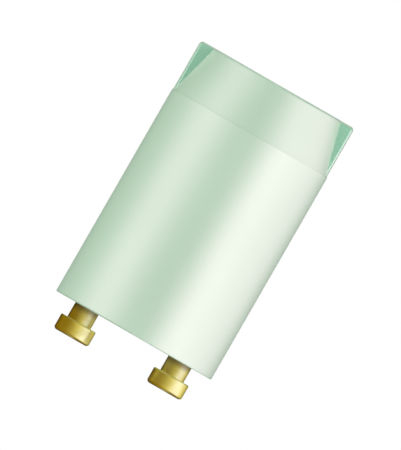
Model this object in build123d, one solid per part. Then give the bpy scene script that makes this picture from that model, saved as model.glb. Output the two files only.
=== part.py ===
"""Glow starter for fluorescent tubes: a moulded can, a two-pin base, a glow switch and a capacitor.

Units are millimetres. The starter stands on the closed end of its can, at z = 0, with its contact pins up.
The pins, and the two finger wings in line with them, lie along X. The glow bulb is on the +Y side.
"""

import os
from math import sqrt, tan, radians

from build123d import *

# Can
BODY_D = 21.2
BODY_LEN = 34.3
WALL = 1.1
END_WALL = 1.2
CORE_DRAFT_DEG = 0.25
CORE_CORNER_R = 0.8
RIM_EDGE_R = 0.15

# Finger grip at the closed end: a cone crossed by a bar, whose two ends are the wings
GRIP_LEN = 6.65
GRIP_STEP = 0.1
GRIP_TAPER = 1.7
WING_T = 3.5
END_EDGE_R = 0.35
WING_EDGE_R = 0.2
WING_CORNER_R = 0.45

# Moulding gate, sunk in the closed end so that the starter stands flat
GATE_DISH_D = 3.2
GATE_DISH_DEPTH = 0.35
GATE_D = 1.2
GATE_H = 0.2

# Base plate, and the seat, snap groove and key ribs that hold it in the can
SEAT_WALL = 0.8
BASE_T = 1.8
BASE_RECESS = 0.3
BASE_CLEAR = 0.1
BASE_LEAD_IN = 0.1
SNAP_BEAD = 0.22
SNAP_HALF_W = 0.4
SNAP_CLEAR = 0.08
KEY_W = 1.8
KEY_DEPTH = 0.8
KEY_BELOW_FACE = 0.25
KEY_CLEAR = 0.12
BOSS_D = 5.6
BOSS_H = 0.8
EJECTOR_D = 2.0
EJECTOR_SINK = 0.12
EJECTOR_IN_FROM_KEY = 2.6
BARRIER_T = 0.8
BARRIER_H = 2.4
BARRIER_LEN = 12.0

# Contact pins: this inset from the can's side puts them on the standard pitch of 12.7
PIN_INSET = 4.25
PIN_HEAD_D = 4.7
PIN_HEAD_T = 2.0
PIN_NECK_D = 3.15
PIN_NECK_LEN = 1.95
PIN_TIP_R = 0.4
PIN_BACK_R = 0.15
PIN_SHANK_D = 2.5
PIN_FLARE_D = 3.9
PIN_FLARE_T = 0.35
PIN_FLARE_R = 0.2
PIN_BORE_D = 1.5
PIN_BORE_PAST_FACE = 0.8
PIN_MOUTH_CHAMFER = 0.25
SOLDER_DEPTH = 2.2
SOLDER_CROWN = 0.25

# Glow bulb: a blown tube with a sealed exhaust tip, pinched flat round its two leads
GLASS_T = 0.6
BULB_TUBE_LEN = 10.5
BULB_DOME_H = 3.4
BULB_TIP_D = 2.2
BULB_TIP_LEN = 1.5
PINCH_W = 7.6
PINCH_T = 2.4
PINCH_FLAT_LEN = 3.0
PINCH_TAPER_LEN = 4.0
BULB_WALL_GAP = 0.5
BULB_PAST_AXIS = 0.5
BULB_BELOW_BASE = 3.7
LEAD_D = 0.5
LEAD_SPACING = 3.0
LEAD_BEND_R = 0.9
LEAD_RUN_BELOW_BASE = 2.2
LEAD_PAST_PINCH = 4.0
LEAD_IN_BORE_Y = 0.35

# Glow switch electrodes
BIMETAL_T = 0.2
BIMETAL_W = 3.0
BIMETAL_DROP = 8.0
BIMETAL_RETURN = 6.0
BIMETAL_WELD_SINK = 0.05
BIMETAL_WELD_LEN = 1.6
CONTACT_GAP = 0.35
ELECTRODE_D = 0.8
ELECTRODE_LEN = 6.5

# Capacitor: a flat wound film roll with sprayed metal ends
ROLL_W = 8.6
ROLL_H = 11.0
ROLL_EDGE_R = 0.3
ROLL_BELOW_BASE = 5.0
ROLL_WALL_GAP = 0.5
ROLL_OFF_AXIS = 2.78
SPRAY_T = 0.4
SPRAY_INSET = 0.15
ROLL_LEAD_RUN_BELOW_BASE = 2.6
ROLL_LEAD_DROP = 1.4
ROLL_LEAD_ON_END = 7.5

# Radii and levels that follow from the sizes above
BODY_R = BODY_D / 2
BORE_R = BODY_R - WALL
SEAT_R = BODY_R - SEAT_WALL
GRIP_R = BODY_R - GRIP_STEP
BASE_R = SEAT_R - BASE_CLEAR
PIN_PITCH = BODY_D - 2 * PIN_INSET
BASE_FACE_Z = BODY_LEN - BASE_RECESS
BASE_BACK_Z = BASE_FACE_Z - BASE_T
SNAP_Z = BASE_BACK_Z + BASE_T / 2
KEY_R = SEAT_R - KEY_DEPTH
HEAD_BACK_Z = BODY_LEN + PIN_NECK_LEN
PIN_TIP_Z = HEAD_BACK_Z + PIN_HEAD_T
BOSS_END_Z = BASE_BACK_Z - BOSS_H
FLARE_END_Z = BOSS_END_Z - PIN_FLARE_T
BORE_END_Z = BASE_FACE_Z + PIN_BORE_PAST_FACE
LEAD_TOP_Z = FLARE_END_Z + SOLDER_DEPTH - LEAD_D / 2

# The core's radius where its draft ends, over the grip, and the least radius beside the inner parts
CORE_GRIP_R = BORE_R - (BASE_BACK_Z - GRIP_LEN) * tan(radians(CORE_DRAFT_DEG))

# The bulb fills the bore's +Y side as far as the key rib, and the roll its -Y side as far as the wall
BULB_R = (KEY_R - BULB_WALL_GAP + BULB_PAST_AXIS) / 2
BULB_Y = BULB_R - BULB_PAST_AXIS
PINCH_Z = BASE_BACK_Z - BULB_BELOW_BASE
PINCH_ROOT_Z = PINCH_Z - PINCH_FLAT_LEN
TUBE_TOP_Z = PINCH_ROOT_Z - PINCH_TAPER_LEN
TUBE_END_Z = TUBE_TOP_Z - BULB_TUBE_LEN
LEAD_INNER_Z = PINCH_ROOT_Z - LEAD_PAST_PINCH

ROLL_HALF_SPAN = ROLL_W / 2 + SPRAY_T + LEAD_D / 2
ROLL_T = sqrt((CORE_GRIP_R - ROLL_WALL_GAP) ** 2 - ROLL_HALF_SPAN**2) - ROLL_OFF_AXIS
ROLL_Y = -ROLL_OFF_AXIS - ROLL_T / 2
ROLL_TOP_Z = BASE_BACK_Z - ROLL_BELOW_BASE
ROLL_MID_Z = ROLL_TOP_Z - ROLL_H / 2

SIDES = {"left": -1, "right": 1}


def turned(*points):
    """A solid of revolution about Z, from the corners of its half section as (radius, z)."""
    return revolve(make_face(Polyline(*[(r, 0, z) for r, z in points], close=True)), Axis.Z)


def rod(diameter, z_from, z_to):
    """A round bar on the Z axis between two levels."""
    return Pos(0, 0, z_from) * Cylinder(
        diameter / 2, z_to - z_from, align=(Align.CENTER, Align.CENTER, Align.MIN)
    )


def bar(x_size, y_size, z_from, z_to):
    """A block centred on the Z axis between two levels."""
    return Pos(0, 0, z_from) * Box(
        x_size, y_size, z_to - z_from, align=(Align.CENTER, Align.CENTER, Align.MIN)
    )


def wire_along(points, bend_r, diameter):
    """A round wire of straight runs joined by tangent bends."""
    path = FilletPolyline(*points, radius=bend_r)
    return sweep(Plane(origin=path @ 0, z_dir=path % 0) * Circle(diameter / 2), path=path)


def snap_ring(root_r, crest_r, half_width):
    """A ring of triangular section, for the base plate's bead and for the can's groove."""
    return turned(
        (root_r - SNAP_BEAD, SNAP_Z - half_width),
        (root_r, SNAP_Z - half_width),
        (crest_r, SNAP_Z),
        (root_r, SNAP_Z + half_width),
        (root_r - SNAP_BEAD, SNAP_Z + half_width),
    )


def grip_form():
    """The finger grip: a cone that narrows to the closed end, with a flat-sided bar left across it."""
    cone = turned((0, 0), (GRIP_R - GRIP_TAPER, 0), (GRIP_R, GRIP_LEN), (0, GRIP_LEN))
    cone = fillet(cone.edges().filter_by(GeomType.CIRCLE).group_by(Axis.Z)[0], END_EDGE_R)
    wings = bar(BODY_D, WING_T, 0, GRIP_LEN) & rod(2 * GRIP_R, 0, GRIP_LEN)
    wings = fillet(wings.faces().sort_by(Axis.Z)[0].edges(), WING_CORNER_R)
    wings = fillet(wings.edges().filter_by(Axis.Z), WING_EDGE_R)
    return cone + wings


def can_core():
    """What the mould's core leaves empty: the grip's inner cone, the drafted bore and the base's seat."""
    end_r = CORE_GRIP_R - GRIP_TAPER * (1 - END_WALL / GRIP_LEN)
    core = turned(
        (0, END_WALL),
        (end_r, END_WALL),
        (CORE_GRIP_R, GRIP_LEN),
        (BORE_R, BASE_BACK_Z),
        (0, BASE_BACK_Z),
    )
    core = fillet(core.edges().filter_by(GeomType.CIRCLE).group_by(Axis.Z)[0], CORE_CORNER_R)
    return core + rod(2 * SEAT_R, BASE_BACK_Z, BODY_LEN)


def key_ribs(width, inner_r, z_from, z_to):
    """Two ribs along the can, at +Y and -Y, from an inner radius out into the can's wall."""
    outer_r = SEAT_R + SEAT_WALL / 2
    rib = Pos(0, (inner_r + outer_r) / 2, 0) * bar(width, outer_r - inner_r, z_from, z_to)
    return rib + Rot(0, 0, 180) * rib


def housing_can():
    """The can, moulded in one piece with its grip, seat, snap groove and key ribs."""
    body = fillet(rod(BODY_D, GRIP_LEN, BODY_LEN).edges().group_by(Axis.Z)[-1], RIM_EDGE_R)
    can = body + grip_form() - can_core()
    can += key_ribs(KEY_W, KEY_R, GRIP_LEN, BASE_FACE_Z - KEY_BELOW_FACE)
    can -= snap_ring(SEAT_R, BASE_R + SNAP_BEAD + SNAP_CLEAR, SNAP_HALF_W + SNAP_CLEAR)
    dish = rod(GATE_DISH_D, 0, GATE_DISH_DEPTH)
    gate = rod(GATE_D, GATE_DISH_DEPTH - GATE_H, GATE_DISH_DEPTH)
    return can - (dish - gate)


def base_plate():
    """The disc that closes the can: snap bead, key notches, bosses, barrier rib and ejector marks."""
    disc = rod(2 * BASE_R, BASE_BACK_Z, BASE_FACE_Z)
    disc = chamfer(disc.edges().group_by(Axis.Z)[0], BASE_LEAD_IN)
    disc += snap_ring(BASE_R, BASE_R + SNAP_BEAD, SNAP_HALF_W)
    disc -= key_ribs(KEY_W + 2 * KEY_CLEAR, KEY_R - KEY_CLEAR, BASE_BACK_Z, BASE_FACE_Z)
    disc += bar(BARRIER_T, BARRIER_LEN, BASE_BACK_Z - BARRIER_H, BASE_BACK_Z)
    for side in SIDES.values():
        at_pin = Pos(side * PIN_PITCH / 2, 0, 0)
        disc += at_pin * rod(BOSS_D, BOSS_END_Z, BASE_BACK_Z)
        disc -= at_pin * rod(PIN_SHANK_D, BOSS_END_Z, BASE_FACE_Z)
        at_mark = Pos(0, side * (KEY_R - EJECTOR_IN_FROM_KEY), 0)
        disc -= at_mark * rod(EJECTOR_D, BASE_FACE_Z - EJECTOR_SINK, BASE_FACE_Z)
    return disc


def contact_pin(side):
    """A turned pin: round head and neck, and a hollow shank riveted over behind the base plate."""
    head = rod(PIN_HEAD_D, HEAD_BACK_Z, PIN_TIP_Z)
    head = fillet(head.edges().group_by(Axis.Z)[-1], PIN_TIP_R)
    head = fillet(head.edges().group_by(Axis.Z)[0], PIN_BACK_R)
    neck = rod(PIN_NECK_D, BASE_FACE_Z, HEAD_BACK_Z)
    shank = rod(PIN_SHANK_D, FLARE_END_Z, BASE_FACE_Z)
    flare = rod(PIN_FLARE_D, FLARE_END_Z, BOSS_END_Z)
    flare = fillet(flare.edges().group_by(Axis.Z)[0], PIN_FLARE_R)
    pin = head + neck + shank + flare - rod(PIN_BORE_D, FLARE_END_Z, BORE_END_Z)
    mouth_r = PIN_BORE_D / 2 + PIN_MOUTH_CHAMFER
    pin -= turned(
        (0, FLARE_END_Z),
        (mouth_r, FLARE_END_Z),
        (PIN_BORE_D / 2, FLARE_END_Z + PIN_MOUTH_CHAMFER),
        (0, FLARE_END_Z + PIN_MOUTH_CHAMFER),
    )
    return Pos(side * PIN_PITCH / 2, 0, 0) * pin


def bulb_lead(side):
    """A glow bulb lead: from inside the glass, out through the pinch and across into the pin's bore."""
    run_z = BASE_BACK_Z - LEAD_RUN_BELOW_BASE
    x_pin, x_bulb = side * PIN_PITCH / 2, side * LEAD_SPACING / 2
    points = [
        (x_pin, LEAD_IN_BORE_Y, LEAD_TOP_Z),
        (x_pin, LEAD_IN_BORE_Y, run_z),
        (x_bulb, BULB_Y, run_z),
        (x_bulb, BULB_Y, LEAD_INNER_Z),
    ]
    return wire_along(points, LEAD_BEND_R, LEAD_D)


def capacitor_lead(side):
    """A capacitor lead: up one sprayed end, then across into the pin's bore."""
    run_z = BASE_BACK_Z - ROLL_LEAD_RUN_BELOW_BASE
    x_pin, x_end = side * PIN_PITCH / 2, side * (ROLL_W / 2 + SPRAY_T)
    points = [
        (x_pin, -LEAD_IN_BORE_Y, LEAD_TOP_Z),
        (x_pin, -LEAD_IN_BORE_Y, run_z),
        (x_end, ROLL_Y, run_z - ROLL_LEAD_DROP),
        (x_end, ROLL_Y, ROLL_TOP_Z - ROLL_LEAD_ON_END),
    ]
    return wire_along(points, LEAD_BEND_R, LEAD_D)


def pin_solder(side):
    """The solder that fills the pin's mouth round both leads."""
    bore_r = PIN_BORE_D / 2
    plug = turned(
        (0, FLARE_END_Z - SOLDER_CROWN),
        (bore_r - PIN_MOUTH_CHAMFER, FLARE_END_Z - SOLDER_CROWN),
        (bore_r + PIN_MOUTH_CHAMFER, FLARE_END_Z),
        (bore_r, FLARE_END_Z + PIN_MOUTH_CHAMFER),
        (bore_r, FLARE_END_Z + SOLDER_DEPTH),
        (0, FLARE_END_Z + SOLDER_DEPTH),
    )
    return Pos(side * PIN_PITCH / 2, 0, 0) * plug - bulb_lead(side) - capacitor_lead(side)


def bulb_form(radius, dome_h, tip_r, tip_end_z, pinch_w, pinch_t, taper_end_z):
    """The tube, dome and exhaust tip, and the taper from the round tube to the flat pinch."""
    tube = rod(2 * radius, TUBE_END_Z, TUBE_TOP_Z)
    dome_outline = (
        EllipticalCenterArc((0, 0), radius, dome_h, start_angle=270, arc_size=90)
        + Line((radius, 0), (0, 0))
        + Line((0, 0), (0, -dome_h))
    )
    dome = Pos(0, 0, TUBE_END_Z) * revolve(Plane.XZ * make_face(dome_outline), Axis.Z)
    tip = rod(2 * tip_r, tip_end_z, TUBE_END_Z)
    tip = fillet(tip.edges().group_by(Axis.Z)[0], tip_r * 0.9)
    taper = loft(
        [
            Pos(0, 0, TUBE_TOP_Z) * Circle(radius),
            Pos(0, 0, taper_end_z) * Ellipse(pinch_w / 2, pinch_t / 2),
        ]
    )
    return tube + dome + tip + taper


def glow_bulb_glass():
    """The glow bulb's envelope, with its leads sealed in the pinch."""
    outer = bulb_form(
        BULB_R,
        BULB_DOME_H,
        BULB_TIP_D / 2,
        TUBE_END_Z - BULB_DOME_H - BULB_TIP_LEN,
        PINCH_W,
        PINCH_T,
        PINCH_ROOT_Z,
    )
    pinch = extrude(Pos(0, 0, PINCH_ROOT_Z) * Ellipse(PINCH_W / 2, PINCH_T / 2), PINCH_Z - PINCH_ROOT_Z)
    inner = bulb_form(
        BULB_R - GLASS_T,
        BULB_DOME_H - GLASS_T,
        BULB_TIP_D / 2 - GLASS_T,
        TUBE_END_Z - BULB_DOME_H - BULB_TIP_LEN + 2 * GLASS_T,
        PINCH_W - 2 * GLASS_T,
        PINCH_T - 2 * GLASS_T,
        PINCH_ROOT_Z - GLASS_T,
    )
    glass = Pos(0, BULB_Y, 0) * (outer + pinch - inner)
    return glass - bulb_lead(-1) - bulb_lead(1)


def bimetal_strip():
    """The U-shaped bimetal strip, welded to the left lead and sprung clear of the fixed electrode."""
    weld_x = -LEAD_SPACING / 2 + LEAD_D / 2 + BIMETAL_T / 2 - BIMETAL_WELD_SINK
    free_x = LEAD_SPACING / 2 - ELECTRODE_D / 2 - CONTACT_GAP - BIMETAL_T / 2
    bend_r = (free_x - weld_x) / 2
    bend_z = LEAD_INNER_Z - BIMETAL_DROP
    weld_top_z = LEAD_INNER_Z + BIMETAL_WELD_LEN
    path = (
        Line((weld_x, BULB_Y, weld_top_z), (weld_x, BULB_Y, bend_z))
        + ThreePointArc(
            (weld_x, BULB_Y, bend_z),
            ((weld_x + free_x) / 2, BULB_Y, bend_z - bend_r),
            (free_x, BULB_Y, bend_z),
        )
        + Line((free_x, BULB_Y, bend_z), (free_x, BULB_Y, bend_z + BIMETAL_RETURN))
    )
    section = Pos(weld_x, BULB_Y, weld_top_z) * Rectangle(BIMETAL_T, BIMETAL_W)
    return sweep(section, path=path) - bulb_lead(-1)


def fixed_electrode():
    """The fixed electrode, butt-welded to the end of the right lead."""
    top_z = LEAD_INNER_Z
    rod_down = fillet(
        rod(ELECTRODE_D, top_z - ELECTRODE_LEN, top_z).edges().group_by(Axis.Z)[0], ELECTRODE_D / 4
    )
    return Pos(LEAD_SPACING / 2, BULB_Y, 0) * rod_down


def roll_section(inset):
    """The wound roll's flat oval, drawn in the YZ plane about the roll's axis."""
    return Plane.YZ * SlotOverall(ROLL_H - 2 * inset, ROLL_T - 2 * inset, rotation=90)


def capacitor_body():
    """The film roll, wound flat, lying across the can."""
    roll = extrude(roll_section(0), ROLL_W / 2, both=True)
    ends = roll.faces().filter_by(Axis.X)
    return Pos(0, ROLL_Y, ROLL_MID_Z) * fillet(ends.edges(), ROLL_EDGE_R)


def capacitor_end(side):
    """The sprayed metal on one end of the roll, with its lead half sunk in it."""
    layer = Pos(side * (ROLL_W + SPRAY_T) / 2, 0, 0) * extrude(
        roll_section(ROLL_EDGE_R + SPRAY_INSET), SPRAY_T / 2, both=True
    )
    return Pos(0, ROLL_Y, ROLL_MID_Z) * layer - capacitor_lead(side)


def all_pieces():
    """Each piece's name and solid."""
    pieces = {
        "housing_can": housing_can(),
        "base_plate": base_plate(),
        "glow_bulb_glass": glow_bulb_glass(),
        "bimetal_strip": bimetal_strip(),
        "fixed_electrode": fixed_electrode(),
        "capacitor_body": capacitor_body(),
    }
    for name, side in SIDES.items():
        pieces[f"contact_pin_{name}"] = contact_pin(side)
        pieces[f"pin_solder_{name}"] = pin_solder(side)
        pieces[f"bulb_lead_{name}"] = bulb_lead(side)
        pieces[f"capacitor_lead_{name}"] = capacitor_lead(side)
        pieces[f"capacitor_end_{name}"] = capacitor_end(side)
    return pieces


os.makedirs("parts", exist_ok=True)
for node, piece in all_pieces().items():
    export_step(piece, f"parts/{node}.step")
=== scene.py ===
"""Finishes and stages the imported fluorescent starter, for a studio picture of it lying at a slant.

The file is laid out as a Blender add-on and run as a script. Lengths are in metres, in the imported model's
frame: +Z runs along the can from its closed end to the contact pins, and X through both pins.
"""

from collections import namedtuple
from math import cos, pi, radians, sin, tan

import bmesh
import bpy
from bpy.props import FloatProperty, FloatVectorProperty, PointerProperty
from bpy.types import Operator, Panel, PropertyGroup
from mathutils import Matrix, Vector


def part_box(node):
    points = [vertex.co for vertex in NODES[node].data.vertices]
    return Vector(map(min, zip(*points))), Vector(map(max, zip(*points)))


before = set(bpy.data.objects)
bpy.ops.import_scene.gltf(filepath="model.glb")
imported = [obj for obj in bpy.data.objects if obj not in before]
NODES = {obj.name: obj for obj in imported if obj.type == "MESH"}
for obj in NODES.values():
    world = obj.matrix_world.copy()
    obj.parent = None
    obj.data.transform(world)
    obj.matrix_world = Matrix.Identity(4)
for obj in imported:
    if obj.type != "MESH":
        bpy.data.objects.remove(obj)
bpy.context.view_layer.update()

bl_info = {
    "name": "Fluorescent starter",
    "version": (1, 0, 0),
    "blender": (4, 5, 0),
    "location": "3D Viewport > Sidebar > Starter",
    "description": "Finishes the parts of a plug-in glow starter and sets up its studio",
    "category": "Object",
}

MM = 0.001

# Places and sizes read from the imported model
PIN_LOW, PIN_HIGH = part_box("contact_pin_right")
CAN_LOW, CAN_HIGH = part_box("housing_can")
PIN_X = (PIN_LOW.x + PIN_HIGH.x) / 2
CAN_R = (CAN_HIGH.y - CAN_LOW.y) / 2
CAN_MIDDLE_Z = CAN_HIGH.z / 2

# The two pins, and the pieces that reflect plain white: all but the pins and the can
PIN_NODES = ("contact_pin_left", "contact_pin_right")
WHITE_LIT_NODES = tuple(name for name in NODES if name != "housing_can" and name not in PIN_NODES)


def length(name, description, default):
    """A length of the starter or its studio, in metres."""
    return FloatProperty(
        name=name, description=description, default=default, min=0.0, unit="LENGTH", precision=5
    )


def colour(name, description, default):
    """A finish's colour, as linear red, green and blue."""
    return FloatVectorProperty(
        name=name, description=description, default=default, size=3, min=0.0, max=1.0, subtype="COLOR"
    )


def angle(name, description, default_degrees):
    """An angle, given here in degrees and kept in radians."""
    return FloatProperty(
        name=name, description=description, default=radians(default_degrees), subtype="ANGLE"
    )


def strength(name, description, default):
    """The strength of a light."""
    return FloatProperty(name=name, description=description, default=default, min=0.0)


class StarterStudio(PropertyGroup):
    """Camera, floor and lights."""

    shown_height: length("Shown height", "Height of what the camera's frame takes in", 0.05334)
    shown_centre_x: FloatProperty(
        name="Centre X",
        description="Where the middle of the frame looks, across",
        default=-0.00036,
        unit="LENGTH",
        precision=5,
    )
    shown_centre_z: length("Centre Z", "Where the middle of the frame looks, along the can", 0.01901)
    lean: angle("Lean", "How far the camera's top turns towards +X", 150.08)
    floor_radius: length("Floor radius", "Radius of the round floor", 1.0)
    floor_gap: length("Floor gap", "How far the floor lies below the closed end", 0.02 * MM)
    tent_radius: length("Tent radius", "Radius of the outermost wall of light round the starter", 0.32)
    tent_height: length("Tent height", "Height of the walls of light", 3.0)
    surround: strength("Surround", "Even light from all round", 0.85)
    tent_glow: colour("Tent glow", "Dim warm light that the pins see all round", (0.29, 0.185, 0.015))
    front_lamp: strength("Front lamp", "Power of the lamp in front, towards -X, in watts", 0.14)
    side_lamp: strength("Side lamp", "Power of the lamp at the +X side, in watts", 0.185)
    lamp_distance: length("Lamp distance", "How far both lamps are from the starter", 0.24)
    floor_colour: colour("Floor", "Colour of the floor", (0.93, 0.93, 0.93))


class StarterCan(PropertyGroup):
    """Finish of the moulded can and base plate."""

    can_colour: colour("Can", "Pale mint of the can", (0.45, 0.63, 0.466))
    can_deep: colour("Can, deep", "Where the moulding looks a little deeper", (0.435, 0.61, 0.451))
    # The wings' colour is painted shade on their flat sides, with some of the thick plastic's deeper green
    wing_shade_colour: colour("Wings", "Deeper green of the two finger wings", (0.26, 0.57, 0.38))
    base_colour: colour("Base plate", "Off-white of the base plate", (0.62, 0.68, 0.60))
    base_deep: colour("Base plate, deep", "Where the base plate looks a little deeper", (0.56, 0.63, 0.55))
    wing_thickness: length("Wing thickness", "Thickness of the bar whose ends are the wings", 3.5 * MM)
    grip_length: length("Grip length", "Length of the conical finger grip", 6.65 * MM)
    grip_taper: length("Grip taper", "How much the grip's radius shrinks to its end", 1.7 * MM)
    grain_size: length("Grain", "Size of the fine grain left by the mould", 0.09 * MM)


class StarterMetal(PropertyGroup):
    """Finishes of the pins, solder, wires and electrodes."""

    brass_colour: colour("Brass", "Clean turned brass", (0.90, 0.835, 0.28))
    brass_film: colour("Brass film", "The thin darker film on the brass", (0.70, 0.65, 0.235))
    # The pins' darker necks by the can's rim are painted shade
    brass_neck_shade: colour("Brass neck shade", "Dark brass on the necks, by the can's rim", (0.22, 0.18, 0.09))
    neck_length: length("Neck length", "How far the pins' necks stand out of the can", 1.95 * MM)
    solder_colour: colour("Solder", "Dull tin solder", (0.60, 0.60, 0.62))
    wire_colour: colour("Wire", "Tinned lead wire", (0.70, 0.68, 0.64))
    bimetal_colour: colour("Bimetal", "Rolled bimetal strip", (0.55, 0.51, 0.46))
    nickel_colour: colour("Nickel", "Drawn nickel electrode", (0.64, 0.61, 0.56))
    zinc_colour: colour("Sprayed zinc", "Rough metal sprayed on the roll's ends", (0.46, 0.47, 0.48))
    turning_pitch: length("Turning pitch", "Spacing of the marks left by turning", 0.07 * MM)


class StarterInside(PropertyGroup):
    """Finishes of the glass and the film roll."""

    glass_colour: colour("Glass", "Tint of the glow bulb's glass", (0.93, 0.96, 0.94))
    film_colour: colour("Film", "Straw colour of the wound film", (0.62, 0.46, 0.20))
    film_edge: colour("Film edge", "Darker lines between the windings", (0.47, 0.33, 0.13))
    winding_pitch: length("Winding pitch", "Spacing of the windings' faint lines", 0.16 * MM)


def add(tree, kind, inputs=None, **settings):
    """A node with its settings, and each named input either set or fed by a socket."""
    node = tree.nodes.new(kind)
    for name, value in settings.items():
        setattr(node, name, value)
    for key, value in (inputs or {}).items():
        if isinstance(value, bpy.types.NodeSocket):
            tree.links.new(value, node.inputs[key])
        else:
            node.inputs[key].default_value = value
    return node


def maths(tree, operation, *values):
    """The result of one maths node."""
    return add(tree, "ShaderNodeMath", dict(enumerate(values)), operation=operation).outputs[0]


def faded(tree, value, low, high, to_low=0.0, to_high=1.0):
    """The value eased from one level to another, as it goes from low to high."""
    limits = {"Value": value, "From Min": low, "From Max": high, "To Min": to_low, "To Max": to_high}
    return add(tree, "ShaderNodeMapRange", limits, interpolation_type="SMOOTHSTEP").outputs["Result"]


def mixed(tree, factor, first, second):
    """Two colours mixed by a factor."""
    node = add(tree, "ShaderNodeMix", data_type="RGBA")
    for key, value in ((0, factor), (6, first), (7, second)):
        if isinstance(value, bpy.types.NodeSocket):
            tree.links.new(value, node.inputs[key])
        else:
            node.inputs[key].default_value = value
    return node.outputs[2]


def rgba(values, brightness=1.0):
    """A colour with full alpha, brought to this share of its brightness."""
    return (*(channel * brightness for channel in values), 1.0)


def noise(tree, vector, size, detail=2.0, roughness=0.5):
    """Noise from 0 to 1 with features of about this size, a number in metres or a socket."""
    scale = maths(tree, "DIVIDE", 1.0, size) if isinstance(size, bpy.types.NodeSocket) else 1.0 / size
    spread = {"Vector": vector, "Scale": scale, "Detail": detail, "Roughness": roughness}
    return add(tree, "ShaderNodeTexNoise", spread, noise_dimensions="3D").outputs["Fac"]


def stretched(tree, vector, scale):
    """The vector with its Z scaled, so that noise is drawn out along the starter."""
    drawn_out = {"Vector": vector, "Scale": (1.0, 1.0, scale)}
    return add(tree, "ShaderNodeMapping", drawn_out).outputs[0]


def new_group(name, inputs, outputs):
    """An empty shader node group with these sockets, and its input and output nodes."""
    group = bpy.data.node_groups.new(name, "ShaderNodeTree")
    for label, kind, default in inputs:
        socket = group.interface.new_socket(label, in_out="INPUT", socket_type=kind)
        socket.default_value = default
    for label, kind in outputs:
        group.interface.new_socket(label, in_out="OUTPUT", socket_type=kind)
    return group, group.nodes.new("NodeGroupInput").outputs, group.nodes.new("NodeGroupOutput").inputs


def joined(group, results, outputs):
    """Feeds each named output of a group."""
    for label, socket in results.items():
        group.links.new(socket, outputs[label])


def position(tree):
    """The surface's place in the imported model's frame."""
    return add(tree, "ShaderNodeTexCoord").outputs["Object"]


MOULDING_GROUP = "Moulded surface"
METAL_GROUP = "Filmed metal"

# Sizes of what the finishes show: clouds and specks in the moulding, ripples in the solder, haze, tint and
# waves in the glass, marks of drawing on wire, patches on the film, and grains of sprayed metal
CLOUD_SIZE = 6.0 * MM
SPECK_SIZE = 0.7 * MM
SOLDER_RIPPLE = 0.3 * MM
GLASS_HAZE = 2.5 * MM
GLASS_TINT = 4.0 * MM
GLASS_WAVE = 3.0 * MM
DRAWING_MARKS = 0.06 * MM
FILM_PATCHES = 3.0 * MM
SPRAY_GRAIN = 0.12 * MM

# Scale of the noise along the starter, under 1 so that clouds and drawing marks are drawn out
FLOW_STRETCH = 0.35
DRAWN_STRETCH = 0.04

# Levels of noise between which a cloud and a film set in
CLOUD_EDGES = (0.38, 0.66)
FILM_EDGES = (0.35, 0.7)

# The specks' share of the moulding's tone, the size of the base plate's grain in grains of the can, what a
# full film adds to a metal's roughness, and the brightness of the glass where its tint is deeper
SPECK_SHARE = 0.25
BASE_GRAIN = 1.4
FILM_DULLS = 0.22
GLASS_DEEPER = 0.97

# How softly the painted shade on the wings ends: at the grip's cone, off their flat sides, and at the can's
# body
WING_FADE_AT_CONE = (-0.1 * MM, -0.02 * MM)
WING_FADE_OFF_SIDE = (0.04 * MM, 0.14 * MM)
WING_FADE_AT_BODY = 0.15 * MM

# Painted shade on the pins' necks: its share by the rim and away from it, how far that reaches, and its end
# at the head
NECK_SHADE_AT_RIM = 0.85
NECK_SHADE_AWAY = 0.25
NECK_SHADE_REACH = (0.1 * MM, 1.0 * MM)
NECK_SHADE_END = 0.1 * MM


def moulding_group():
    """Moulded plastic: faint clouding of its colour, a fine grain, and roughness that varies with both."""
    group, given, result = new_group(
        MOULDING_GROUP,
        [
            ("Colour", "NodeSocketColor", (0.5, 0.5, 0.5, 1)),
            ("Deep colour", "NodeSocketColor", (0.4, 0.4, 0.4, 1)),
            ("Grain size", "NodeSocketFloat", 0.1 * MM),
            ("Roughness", "NodeSocketFloat", 0.4),
            ("Roughness spread", "NodeSocketFloat", 0.06),
        ],
        [("Colour", "NodeSocketColor"), ("Roughness", "NodeSocketFloat"), ("Grain", "NodeSocketFloat")],
    )
    place = position(group)
    clouds = noise(group, stretched(group, place, FLOW_STRETCH), CLOUD_SIZE, detail=3.0)
    specks = noise(group, place, SPECK_SIZE)
    clouded = maths(group, "MULTIPLY", faded(group, clouds, *CLOUD_EDGES), 1.0 - SPECK_SHARE)
    tone = maths(group, "MULTIPLY_ADD", specks, SPECK_SHARE, clouded)
    grain = noise(group, place, given["Grain size"])
    average = maths(group, "MULTIPLY_ADD", grain, 0.5, maths(group, "MULTIPLY", clouds, 0.5))
    uneven = maths(group, "SUBTRACT", average, 0.5)
    joined(
        group,
        {
            "Colour": mixed(group, tone, given["Colour"], given["Deep colour"]),
            "Roughness": maths(
                group, "MULTIPLY_ADD", uneven, given["Roughness spread"], given["Roughness"]
            ),
            "Grain": grain,
        },
        result,
    )
    return group


def metal_group():
    """Bare metal with a thin uneven film that darkens and dulls it."""
    group, given, result = new_group(
        METAL_GROUP,
        [
            ("Colour", "NodeSocketColor", (0.6, 0.6, 0.6, 1)),
            ("Film colour", "NodeSocketColor", (0.4, 0.4, 0.4, 1)),
            ("Film", "NodeSocketFloat", 0.4),
            ("Film size", "NodeSocketFloat", 1.5 * MM),
            ("Roughness", "NodeSocketFloat", 0.3),
        ],
        [("Colour", "NodeSocketColor"), ("Roughness", "NodeSocketFloat")],
    )
    place = position(group)
    patches = noise(group, place, given["Film size"], detail=4.0)
    film = maths(group, "MULTIPLY", faded(group, patches, *FILM_EDGES), given["Film"])
    joined(
        group,
        {
            "Colour": mixed(group, film, given["Colour"], given["Film colour"]),
            "Roughness": maths(group, "MULTIPLY_ADD", film, FILM_DULLS, given["Roughness"]),
        },
        result,
    )
    return group


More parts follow.
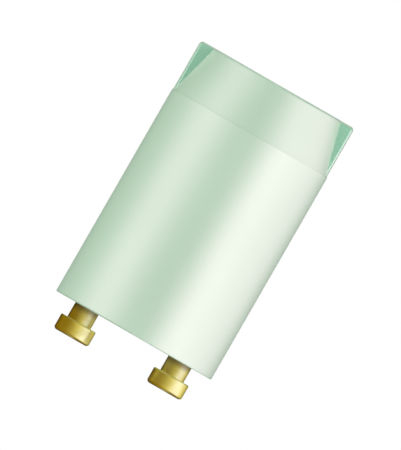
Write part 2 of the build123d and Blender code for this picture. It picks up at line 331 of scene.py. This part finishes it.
def grouped(tree, group, **inputs):
    """A node group placed in a material, with its inputs set or fed."""
    named = {key.replace("_", " "): value for key, value in inputs.items()}
    return add(tree, "ShaderNodeGroup", named, node_tree=group).outputs


def bumped(tree, height, share, depth=0.05 * MM):
    """A normal bent by a height that varies over the surface, by this share of a depth."""
    steps = {"Height": height, "Strength": share, "Distance": depth}
    return add(tree, "ShaderNodeBump", steps).outputs["Normal"]


def new_material(name, **constants):
    """A material with one Principled shader, whose constants are set on its own sockets."""
    material = bpy.data.materials.new(name)
    material.use_nodes = True
    tree = material.node_tree
    shader = tree.nodes["Principled BSDF"]
    for socket, value in constants.items():
        shader.inputs[socket.replace("_", " ")].default_value = value
    return material, tree, shader


def feed(tree, shader, **sockets):
    """Feeds the shader's named sockets."""
    for name, socket in sockets.items():
        tree.links.new(socket, shader.inputs[name.replace("_", " ")])


def moulded(tree, shader, base, deep, grain_size, roughness, spread):
    """Feeds a moulding's colour and roughness, and gives the outputs of its group."""
    surface = grouped(
        tree,
        bpy.data.node_groups.get(MOULDING_GROUP) or moulding_group(),
        Colour=rgba(base),
        Deep_colour=rgba(deep),
        Grain_size=grain_size,
        Roughness=roughness,
        Roughness_spread=spread,
    )
    feed(tree, shader, Base_Color=surface["Colour"], Roughness=surface["Roughness"])
    return surface


def filmed(tree, shader, base, film_colour, film, film_size, roughness):
    """Feeds a metal's colour and roughness, and gives the outputs of its group."""
    surface = grouped(
        tree,
        bpy.data.node_groups.get(METAL_GROUP) or metal_group(),
        Colour=rgba(base),
        Film_colour=rgba(film_colour),
        Film=film,
        Film_size=film_size,
        Roughness=roughness,
    )
    feed(tree, shader, Base_Color=surface["Colour"], Roughness=surface["Roughness"])
    return surface


def finish_nodes(material, *names):
    """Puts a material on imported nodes, in place of the plain one they came with."""
    for name in names:
        for slot in NODES[name].material_slots:
            slot.material = material


def from_axis(tree, x, y):
    """How far a place is from an axis, by its two coordinates across that axis."""
    squares = maths(tree, "ADD", maths(tree, "MULTIPLY", x, x), maths(tree, "MULTIPLY", y, y))
    return maths(tree, "SQRT", squares)


def wing_shade_mask(tree, settings):
    """Where the wings' painted shade goes: one on the flat sides of the two finger wings, where the bar
    stands out of the grip's cone.
    """
    x, y, z = add(tree, "ShaderNodeSeparateXYZ", {"Vector": position(tree)}).outputs
    cone_end = CAN_R - settings.grip_taper
    cone = maths(tree, "MULTIPLY_ADD", z, settings.grip_taper / settings.grip_length, cone_end)
    proud = faded(tree, maths(tree, "SUBTRACT", from_axis(tree, x, y), cone), *WING_FADE_AT_CONE)
    side = settings.wing_thickness / 2
    off_side = maths(tree, "ABSOLUTE", maths(tree, "SUBTRACT", maths(tree, "ABSOLUTE", y), side))
    on_side = faded(tree, off_side, *WING_FADE_OFF_SIDE, to_low=1.0, to_high=0.0)
    body_z = settings.grip_length
    in_grip = faded(tree, z, body_z - WING_FADE_AT_BODY, body_z, to_low=1.0, to_high=0.0)
    return maths(tree, "MULTIPLY", maths(tree, "MULTIPLY", proud, on_side), in_grip)


class STARTER_OT_can(Operator):
    """Finishes the can in pale mint polycarbonate and the base plate in an off-white moulding"""

    bl_idname = "starter.can"
    bl_label = "Finish can and base plate"

    def execute(self, context):
        settings = context.scene.starter_can
        material, tree, shader = new_material("mint_polycarbonate", IOR=1.58, Specular_IOR_Level=0.85)
        surface = moulded(
            tree,
            shader,
            settings.can_colour,
            settings.can_deep,
            settings.grain_size,
            roughness=0.36,
            spread=0.08,
        )
        # The wings' flat sides get painted shade, with some of the thick plastic's deeper green
        wing_shaded = mixed(tree, wing_shade_mask(tree, settings), surface["Colour"], rgba(settings.wing_shade_colour))
        feed(tree, shader, Base_Color=wing_shaded, Normal=bumped(tree, surface["Grain"], 0.06))
        finish_nodes(material, "housing_can")

        material, tree, shader = new_material("base_moulding", IOR=1.5)
        surface = moulded(
            tree,
            shader,
            settings.base_colour,
            settings.base_deep,
            settings.grain_size * BASE_GRAIN,
            roughness=0.45,
            spread=0.1,
        )
        feed(tree, shader, Normal=bumped(tree, surface["Grain"], 0.15))
        finish_nodes(material, "base_plate")
        return {"FINISHED"}


def pin_radius(tree):
    """How far the surface is from the axis of the pin on its side."""
    x, y, _ = add(tree, "ShaderNodeSeparateXYZ", {"Vector": position(tree)}).outputs
    return from_axis(tree, maths(tree, "SUBTRACT", maths(tree, "ABSOLUTE", x), PIN_X), y)


def turning_marks(tree, pitch):
    """Fine rings round the pin, on its sides and on its end."""
    z = add(tree, "ShaderNodeSeparateXYZ", {"Vector": position(tree)}).outputs["Z"]
    along = maths(tree, "ADD", z, pin_radius(tree))
    marks = {"W": maths(tree, "DIVIDE", along, pitch), "Scale": 1.0, "Detail": 3.0, "Roughness": 0.7}
    return add(tree, "ShaderNodeTexNoise", marks, noise_dimensions="1D").outputs["Fac"]


def painted_neck_shade(tree, settings):
    """How much painted shade the pins' necks get: most by the can's rim, and none on the heads."""
    z = add(tree, "ShaderNodeSeparateXYZ", {"Vector": position(tree)}).outputs["Z"]
    off_rim = maths(tree, "ABSOLUTE", maths(tree, "SUBTRACT", z, CAN_HIGH.z))
    by_rim = faded(tree, off_rim, *NECK_SHADE_REACH, NECK_SHADE_AT_RIM, NECK_SHADE_AWAY)
    head_z = CAN_HIGH.z + settings.neck_length
    on_neck = faded(tree, z, head_z - NECK_SHADE_END, head_z, to_low=1.0, to_high=0.0)
    return maths(tree, "MULTIPLY", by_rim, on_neck)


class STARTER_OT_pins(Operator):
    """Finishes the contact pins in turned brass, and their solder"""

    bl_idname = "starter.pins"
    bl_label = "Finish pins and solder"

    def execute(self, context):
        settings = context.scene.starter_metal
        material, tree, shader = new_material("pin_brass", Metallic=1.0)
        surface = filmed(
            tree,
            shader,
            settings.brass_colour,
            settings.brass_film,
            film=0.45,
            film_size=1.6 * MM,
            roughness=0.3,
        )
        # Painted shade darkens the pins' necks by the can's rim
        neck_shading = painted_neck_shade(tree, settings)
        marks = turning_marks(tree, settings.turning_pitch)
        feed(
            tree,
            shader,
            Base_Color=mixed(tree, neck_shading, surface["Colour"], rgba(settings.brass_neck_shade)),
            Normal=bumped(tree, marks, 0.12, 0.02 * MM),
        )
        finish_nodes(material, *PIN_NODES)

        material, tree, shader = new_material("solder", Metallic=1.0)
        filmed(
            tree,
            shader,
            settings.solder_colour,
            (0.38, 0.38, 0.39),
            film=0.7,
            film_size=0.6 * MM,
            roughness=0.35,
        )
        ripples = noise(tree, position(tree), SOLDER_RIPPLE, detail=3.0)
        feed(tree, shader, Normal=bumped(tree, ripples, 0.4))
        finish_nodes(material, "pin_solder_left", "pin_solder_right")
        return {"FINISHED"}


class STARTER_OT_glow_bulb(Operator):
    """Finishes the glow bulb's glass, its two leads and its electrodes"""

    bl_idname = "starter.glow_bulb"
    bl_label = "Finish glow bulb"

    def execute(self, context):
        metal = context.scene.starter_metal
        inside = context.scene.starter_inside

        material, tree, shader = new_material("bulb_glass", IOR=1.5, Transmission_Weight=1.0)
        place = position(tree)
        haze = faded(tree, noise(tree, place, GLASS_HAZE), 0.4, 0.7, to_low=0.02, to_high=0.09)
        deeper = rgba(inside.glass_colour, GLASS_DEEPER)
        tint = mixed(tree, noise(tree, place, GLASS_TINT), rgba(inside.glass_colour), deeper)
        feed(
            tree,
            shader,
            Base_Color=tint,
            Roughness=haze,
            Normal=bumped(tree, noise(tree, place, GLASS_WAVE), 0.1, 0.2 * MM),
        )
        finish_nodes(material, "glow_bulb_glass")

        leads = ("bulb_lead_left", "bulb_lead_right")
        for name, base, film_colour, film, roughness, nodes in (
            ("tinned_wire", metal.wire_colour, (0.45, 0.43, 0.40), 0.5, 0.28, leads),
            ("bimetal", metal.bimetal_colour, (0.36, 0.31, 0.27), 0.5, 0.35, ("bimetal_strip",)),
            ("electrode_nickel", metal.nickel_colour, (0.45, 0.42, 0.38), 0.4, 0.3, ("fixed_electrode",)),
        ):
            material, tree, shader = new_material(name, Metallic=1.0)
            filmed(tree, shader, base, film_colour, film, 0.9 * MM, roughness)
            marks = noise(tree, stretched(tree, position(tree), DRAWN_STRETCH), DRAWING_MARKS)
            feed(tree, shader, Normal=bumped(tree, marks, 0.1, 0.02 * MM))
            finish_nodes(material, *nodes)
        return {"FINISHED"}


class STARTER_OT_capacitor(Operator):
    """Finishes the wound film roll, its sprayed ends and its leads"""

    bl_idname = "starter.capacitor"
    bl_label = "Finish capacitor"

    def execute(self, context):
        metal = context.scene.starter_metal
        inside = context.scene.starter_inside

        material, tree, shader = new_material(
            "capacitor_film", IOR=1.55, Coat_Weight=0.3, Coat_Roughness=0.1
        )
        place = position(tree)
        across = add(tree, "ShaderNodeSeparateXYZ", {"Vector": place}).outputs["X"]
        lines = {"W": maths(tree, "DIVIDE", across, inside.winding_pitch), "Scale": 1.0, "Detail": 2.0}
        windings = add(tree, "ShaderNodeTexNoise", lines, noise_dimensions="1D").outputs["Fac"]
        patches = noise(tree, place, FILM_PATCHES, detail=3.0)
        edges = faded(tree, windings, 0.5, 0.7)
        mask = maths(tree, "MULTIPLY", edges, faded(tree, patches, 0.3, 0.6, to_low=0.5))
        feed(
            tree,
            shader,
            Base_Color=mixed(tree, mask, rgba(inside.film_colour), rgba(inside.film_edge)),
            Roughness=faded(tree, patches, 0.3, 0.7, to_low=0.16, to_high=0.3),
            Normal=bumped(tree, windings, 0.15, 0.03 * MM),
        )
        finish_nodes(material, "capacitor_body")

        material, tree, shader = new_material("sprayed_zinc", Metallic=1.0)
        filmed(
            tree,
            shader,
            metal.zinc_colour,
            (0.30, 0.30, 0.31),
            film=0.8,
            film_size=0.4 * MM,
            roughness=0.5,
        )
        grains = noise(tree, position(tree), SPRAY_GRAIN, detail=4.0)
        feed(tree, shader, Normal=bumped(tree, grains, 0.8, 0.08 * MM))
        finish_nodes(material, "capacitor_end_left", "capacitor_end_right")
        finish_nodes(bpy.data.materials["tinned_wire"], "capacitor_lead_left", "capacitor_lead_right")
        return {"FINISHED"}


def staged(name, make, material=None):
    """A stage object whose mesh this function fills."""
    mesh = bpy.data.meshes.new(name)
    shape = bmesh.new()
    make(shape)
    shape.to_mesh(mesh)
    shape.free()
    piece = bpy.data.objects.new(name, mesh)
    bpy.context.scene.collection.objects.link(piece)
    if material:
        mesh.materials.append(material)
    return piece


def ring_wall(radius, height, segments=128):
    """Fills a mesh with an upright open cylinder round the starter."""

    def fill(shape):
        """Two rings of points, joined by faces."""
        rings = [
            [
                shape.verts.new((radius * cos(turn), radius * sin(turn), z))
                for turn in (2 * pi * i / segments for i in range(segments))
            ]
            for z in (CAN_MIDDLE_Z - height / 2, CAN_MIDDLE_Z + height / 2)
        ]
        for i in range(segments):
            j = (i + 1) % segments
            shape.faces.new((rings[0][j], rings[0][i], rings[1][i], rings[1][j]))

    return fill


def wall_light(name, radius, strips=(), glow=(0, 0, 0), glow_behind=1.0, see_through=False):
    """Light for a round wall: soft-edged upright strips, and a glow that may fade behind the starter."""
    material = bpy.data.materials.new(name)
    material.use_nodes = True
    tree = material.node_tree
    tree.nodes.clear()
    x, y, z = add(tree, "ShaderNodeSeparateXYZ", {"Vector": position(tree)}).outputs
    turn = maths(tree, "ARCTAN2", x, maths(tree, "MULTIPLY", y, -1.0))
    off_middle = maths(tree, "ABSOLUTE", maths(tree, "SUBTRACT", z, CAN_MIDDLE_Z))
    fades_from, faded_at = (radius * tan(radians(degrees)) for degrees in STRIP_ENDS)
    ends_fade = faded(tree, off_middle, fades_from, faded_at, to_low=1.0, to_high=0.0)
    dims_from, dim_at = (radians(degrees) for degrees in GLOW_DIMS)
    off_front = maths(tree, "ABSOLUTE", turn)
    behind_fade = faded(tree, off_front, dims_from, dim_at, to_low=1.0, to_high=glow_behind)
    light = add(tree, "ShaderNodeEmission", {"Color": rgba(glow), "Strength": behind_fade}).outputs[0]
    for strip in strips:
        off = maths(tree, "ABSOLUTE", maths(tree, "SUBTRACT", turn, radians(strip.degrees)))
        across = faded(tree, off, 0.0, radians(strip.spread), to_low=strip.strength, to_high=0.0)
        power = maths(tree, "MULTIPLY", across, ends_fade)
        lit = add(tree, "ShaderNodeEmission", {"Color": rgba(strip.tint), "Strength": power}).outputs[0]
        light = add(tree, "ShaderNodeAddShader", {0: light, 1: lit}).outputs[0]
    if see_through:
        clear = add(tree, "ShaderNodeBsdfTransparent").outputs[0]
        light = add(tree, "ShaderNodeAddShader", {0: clear, 1: light}).outputs[0]
    add(tree, "ShaderNodeOutputMaterial", {"Surface": light})
    return material


def light_wall(name, radius, height, lit_nodes, **light):
    """A round wall round the starter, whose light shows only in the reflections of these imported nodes."""
    wall = staged(name, ring_wall(radius, height), wall_light(name, radius, **light))
    wall.visible_camera = False
    wall.visible_diffuse = False
    wall.visible_transmission = False
    wall.visible_volume_scatter = False
    wall.visible_shadow = False
    lit = bpy.data.collections.new(f"lit_by_{name}")
    for node in lit_nodes:
        lit.objects.link(NODES[node])
    wall.light_linking.receiver_collection = lit


def soft_lamp(name, degrees, watts, distance):
    """A soft lamp aimed at the starter, this far round from -Y towards +X, and unseen in reflections."""
    data = bpy.data.lights.new(name, "AREA")
    data.shape = "RECTANGLE"
    data.size, data.size_y = LAMP_SIZE
    data.energy = watts
    lamp = bpy.data.objects.new(name, data)
    bpy.context.scene.collection.objects.link(lamp)
    aim = Vector((0, 0, CAN_MIDDLE_Z))
    turn = radians(degrees)
    lamp.location = aim + Vector((distance * sin(turn), -distance * cos(turn), LAMP_RISE))
    lamp.rotation_euler = (aim - lamp.location).to_track_quat("-Z", "Y").to_euler()
    lamp.visible_glossy = False


# The two lamps: degrees round from -Y towards +X, how far they stand above the starter's middle, here
# below it, and their width and height
FRONT_LAMP_DEGREES = -45
SIDE_LAMP_DEGREES = 75
LAMP_RISE = -0.017
LAMP_SIZE = (0.10, 0.16)

# How far in front of the starter the camera stands, and the nearest and farthest that it sees
CAMERA_DISTANCE = 0.3
CAMERA_CLIP = (0.01, 5.0)

# Size of the floor's faint clouds, and their brightness as a share of the rest
FLOOR_CLOUDS = 20 * MM
FLOOR_DEEPER = 0.985

# Radii of the two inner walls of light, as shares of the outermost one's
STRIPS_RADIUS = 0.9
WHITE_RADIUS = 0.8

# Where the strips of light start to fade and end, in degrees above and below the starter's middle
STRIP_ENDS = (20, 44)

# Where the glow starts to dim and has dimmed, in degrees round from -Y, and what is left of it there
GLOW_DIMS = (105, 150)
TENT_GLOW_BEHIND = 0.25

# Strips of light: degrees round from -Y towards +X, degrees to where they have faded, strength and tint
Strip = namedtuple("Strip", "degrees spread strength tint")
CAN_TINT = (1.0, 0.66, 0.87)
CAN_STRIPS = (
    Strip(-45, 41, 3.5, CAN_TINT),
    Strip(-80, 80, 4.45, CAN_TINT),
    Strip(57, 54, 3.8, CAN_TINT),
)
PIN_STRIPS = (
    Strip(-66, 124, 0.88, (1.0, 1.0, 0.55)),
    Strip(-66, 60, 1.02, (0.1, 0.2, 1.7)),
)


class STARTER_OT_studio(Operator):
    """Sets up the floor, the walls of light, the lamps and the camera"""

    bl_idname = "starter.studio"
    bl_label = "Set up studio"

    def execute(self, context):
        scene = context.scene
        settings = scene.starter_studio
        scene.view_settings.view_transform = "Standard"

        world = bpy.data.worlds.new("studio_white")
        scene.world = world
        world.use_nodes = True
        world.cycles.sampling_method = "NONE"
        tree = world.node_tree
        tree.nodes.clear()
        path = add(tree, "ShaderNodeLightPath").outputs
        seen = maths(tree, "MAXIMUM", path["Is Camera Ray"], path["Is Glossy Ray"])
        seen = maths(tree, "MAXIMUM", seen, path["Is Transmission Ray"])
        level = maths(tree, "MULTIPLY_ADD", seen, 1.0 - settings.surround, settings.surround)
        sky = add(tree, "ShaderNodeBackground", {"Color": (1, 1, 1, 1), "Strength": level}).outputs[0]
        add(tree, "ShaderNodeOutputWorld", {"Surface": sky})

        material, tree, shader = new_material("pale_floor", Roughness=0.8, Specular_IOR_Level=0.1)
        clouds = noise(tree, position(tree), FLOOR_CLOUDS, detail=3.0)
        deeper = rgba(settings.floor_colour, FLOOR_DEEPER)
        feed(tree, shader, Base_Color=mixed(tree, clouds, rgba(settings.floor_colour), deeper))
        under = add(tree, "ShaderNodeNewGeometry").outputs["Backfacing"]
        one_sided = add(tree, "ShaderNodeMixShader", {0: under})
        tree.links.new(shader.outputs[0], one_sided.inputs[1])
        tree.links.new(add(tree, "ShaderNodeBsdfTransparent").outputs[0], one_sided.inputs[2])
        tree.links.new(one_sided.outputs[0], tree.nodes["Material Output"].inputs["Surface"])
        drop = Matrix.Translation((0, 0, -settings.floor_gap))
        floor = staged(
            "floor",
            lambda shape: bmesh.ops.create_circle(
                shape, cap_ends=True, segments=96, radius=settings.floor_radius, matrix=drop
            ),
            material,
        )
        floor.visible_glossy = False
        floor.visible_diffuse = False
        floor.visible_shadow = False

        radius, height = settings.tent_radius, settings.tent_height
        warm = {"strips": PIN_STRIPS, "glow": settings.tent_glow, "glow_behind": TENT_GLOW_BEHIND}
        light_wall("tent", radius, height, PIN_NODES, **warm)
        pink = {"strips": CAN_STRIPS, "see_through": True}
        light_wall("strips", radius * STRIPS_RADIUS, height, ("housing_can",), **pink)
        plain = {"glow": (1, 1, 1), "see_through": True}
        light_wall("white", radius * WHITE_RADIUS, height, WHITE_LIT_NODES, **plain)

        for name, degrees, watts in (
            ("front_lamp", FRONT_LAMP_DEGREES, settings.front_lamp),
            ("side_lamp", SIDE_LAMP_DEGREES, settings.side_lamp),
        ):
            soft_lamp(name, degrees, watts, settings.lamp_distance)

        camera_data = bpy.data.cameras.new("camera")
        camera_data.type = "ORTHO"
        camera_data.ortho_scale = settings.shown_height
        camera_data.clip_start, camera_data.clip_end = CAMERA_CLIP
        camera = bpy.data.objects.new("camera", camera_data)
        scene.collection.objects.link(camera)
        lean = settings.lean
        right, up, back = (cos(lean), 0, -sin(lean)), (sin(lean), 0, cos(lean)), (0, -1, 0)
        turn = Matrix((right, up, back)).transposed().to_4x4()
        place = Matrix.Translation((settings.shown_centre_x, -CAMERA_DISTANCE, settings.shown_centre_z))
        camera.matrix_world = place @ turn
        scene.camera = camera
        return {"FINISHED"}


class STARTER_PT_panel(Panel):
    """Lists the starter's finishes and studio in the sidebar"""

    bl_idname = "STARTER_PT_panel"
    bl_label = "Starter"
    bl_space_type = "VIEW_3D"
    bl_region_type = "UI"
    bl_category = "Starter"

    def draw(self, context):
        layout = self.layout
        for heading, group_name, operators in (
            ("Can", "starter_can", ("starter.can",)),
            ("Metal", "starter_metal", ("starter.pins",)),
            ("Inside", "starter_inside", ("starter.glow_bulb", "starter.capacitor")),
            ("Studio", "starter_studio", ("starter.studio",)),
        ):
            box = layout.box()
            box.label(text=heading)
            settings = getattr(context.scene, group_name)
            for name in settings.bl_rna.properties.keys():
                if name not in {"rna_type", "name"}:
                    box.prop(settings, name)
            for operator in operators:
                box.operator(operator)


CLASSES = (
    StarterStudio,
    StarterCan,
    StarterMetal,
    StarterInside,
    STARTER_OT_can,
    STARTER_OT_pins,
    STARTER_OT_glow_bulb,
    STARTER_OT_capacitor,
    STARTER_OT_studio,
    STARTER_PT_panel,
)
SETTINGS = {
    "starter_studio": StarterStudio,
    "starter_can": StarterCan,
    "starter_metal": StarterMetal,
    "starter_inside": StarterInside,
}


def register():
    """Adds the starter's settings, operators and panel to Blender."""
    for cls in CLASSES:
        bpy.utils.register_class(cls)
    for name, cls in SETTINGS.items():
        setattr(bpy.types.Scene, name, PointerProperty(type=cls))


def unregister():
    """Takes the starter's settings, operators and panel away again."""
    for name in SETTINGS:
        delattr(bpy.types.Scene, name)
    for cls in reversed(CLASSES):
        bpy.utils.unregister_class(cls)


def main():
    """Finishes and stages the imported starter."""
    register()
    bpy.ops.starter.can()
    bpy.ops.starter.pins()
    bpy.ops.starter.glow_bulb()
    bpy.ops.starter.capacitor()
    bpy.ops.starter.studio()


if __name__ == "__main__":
    main()
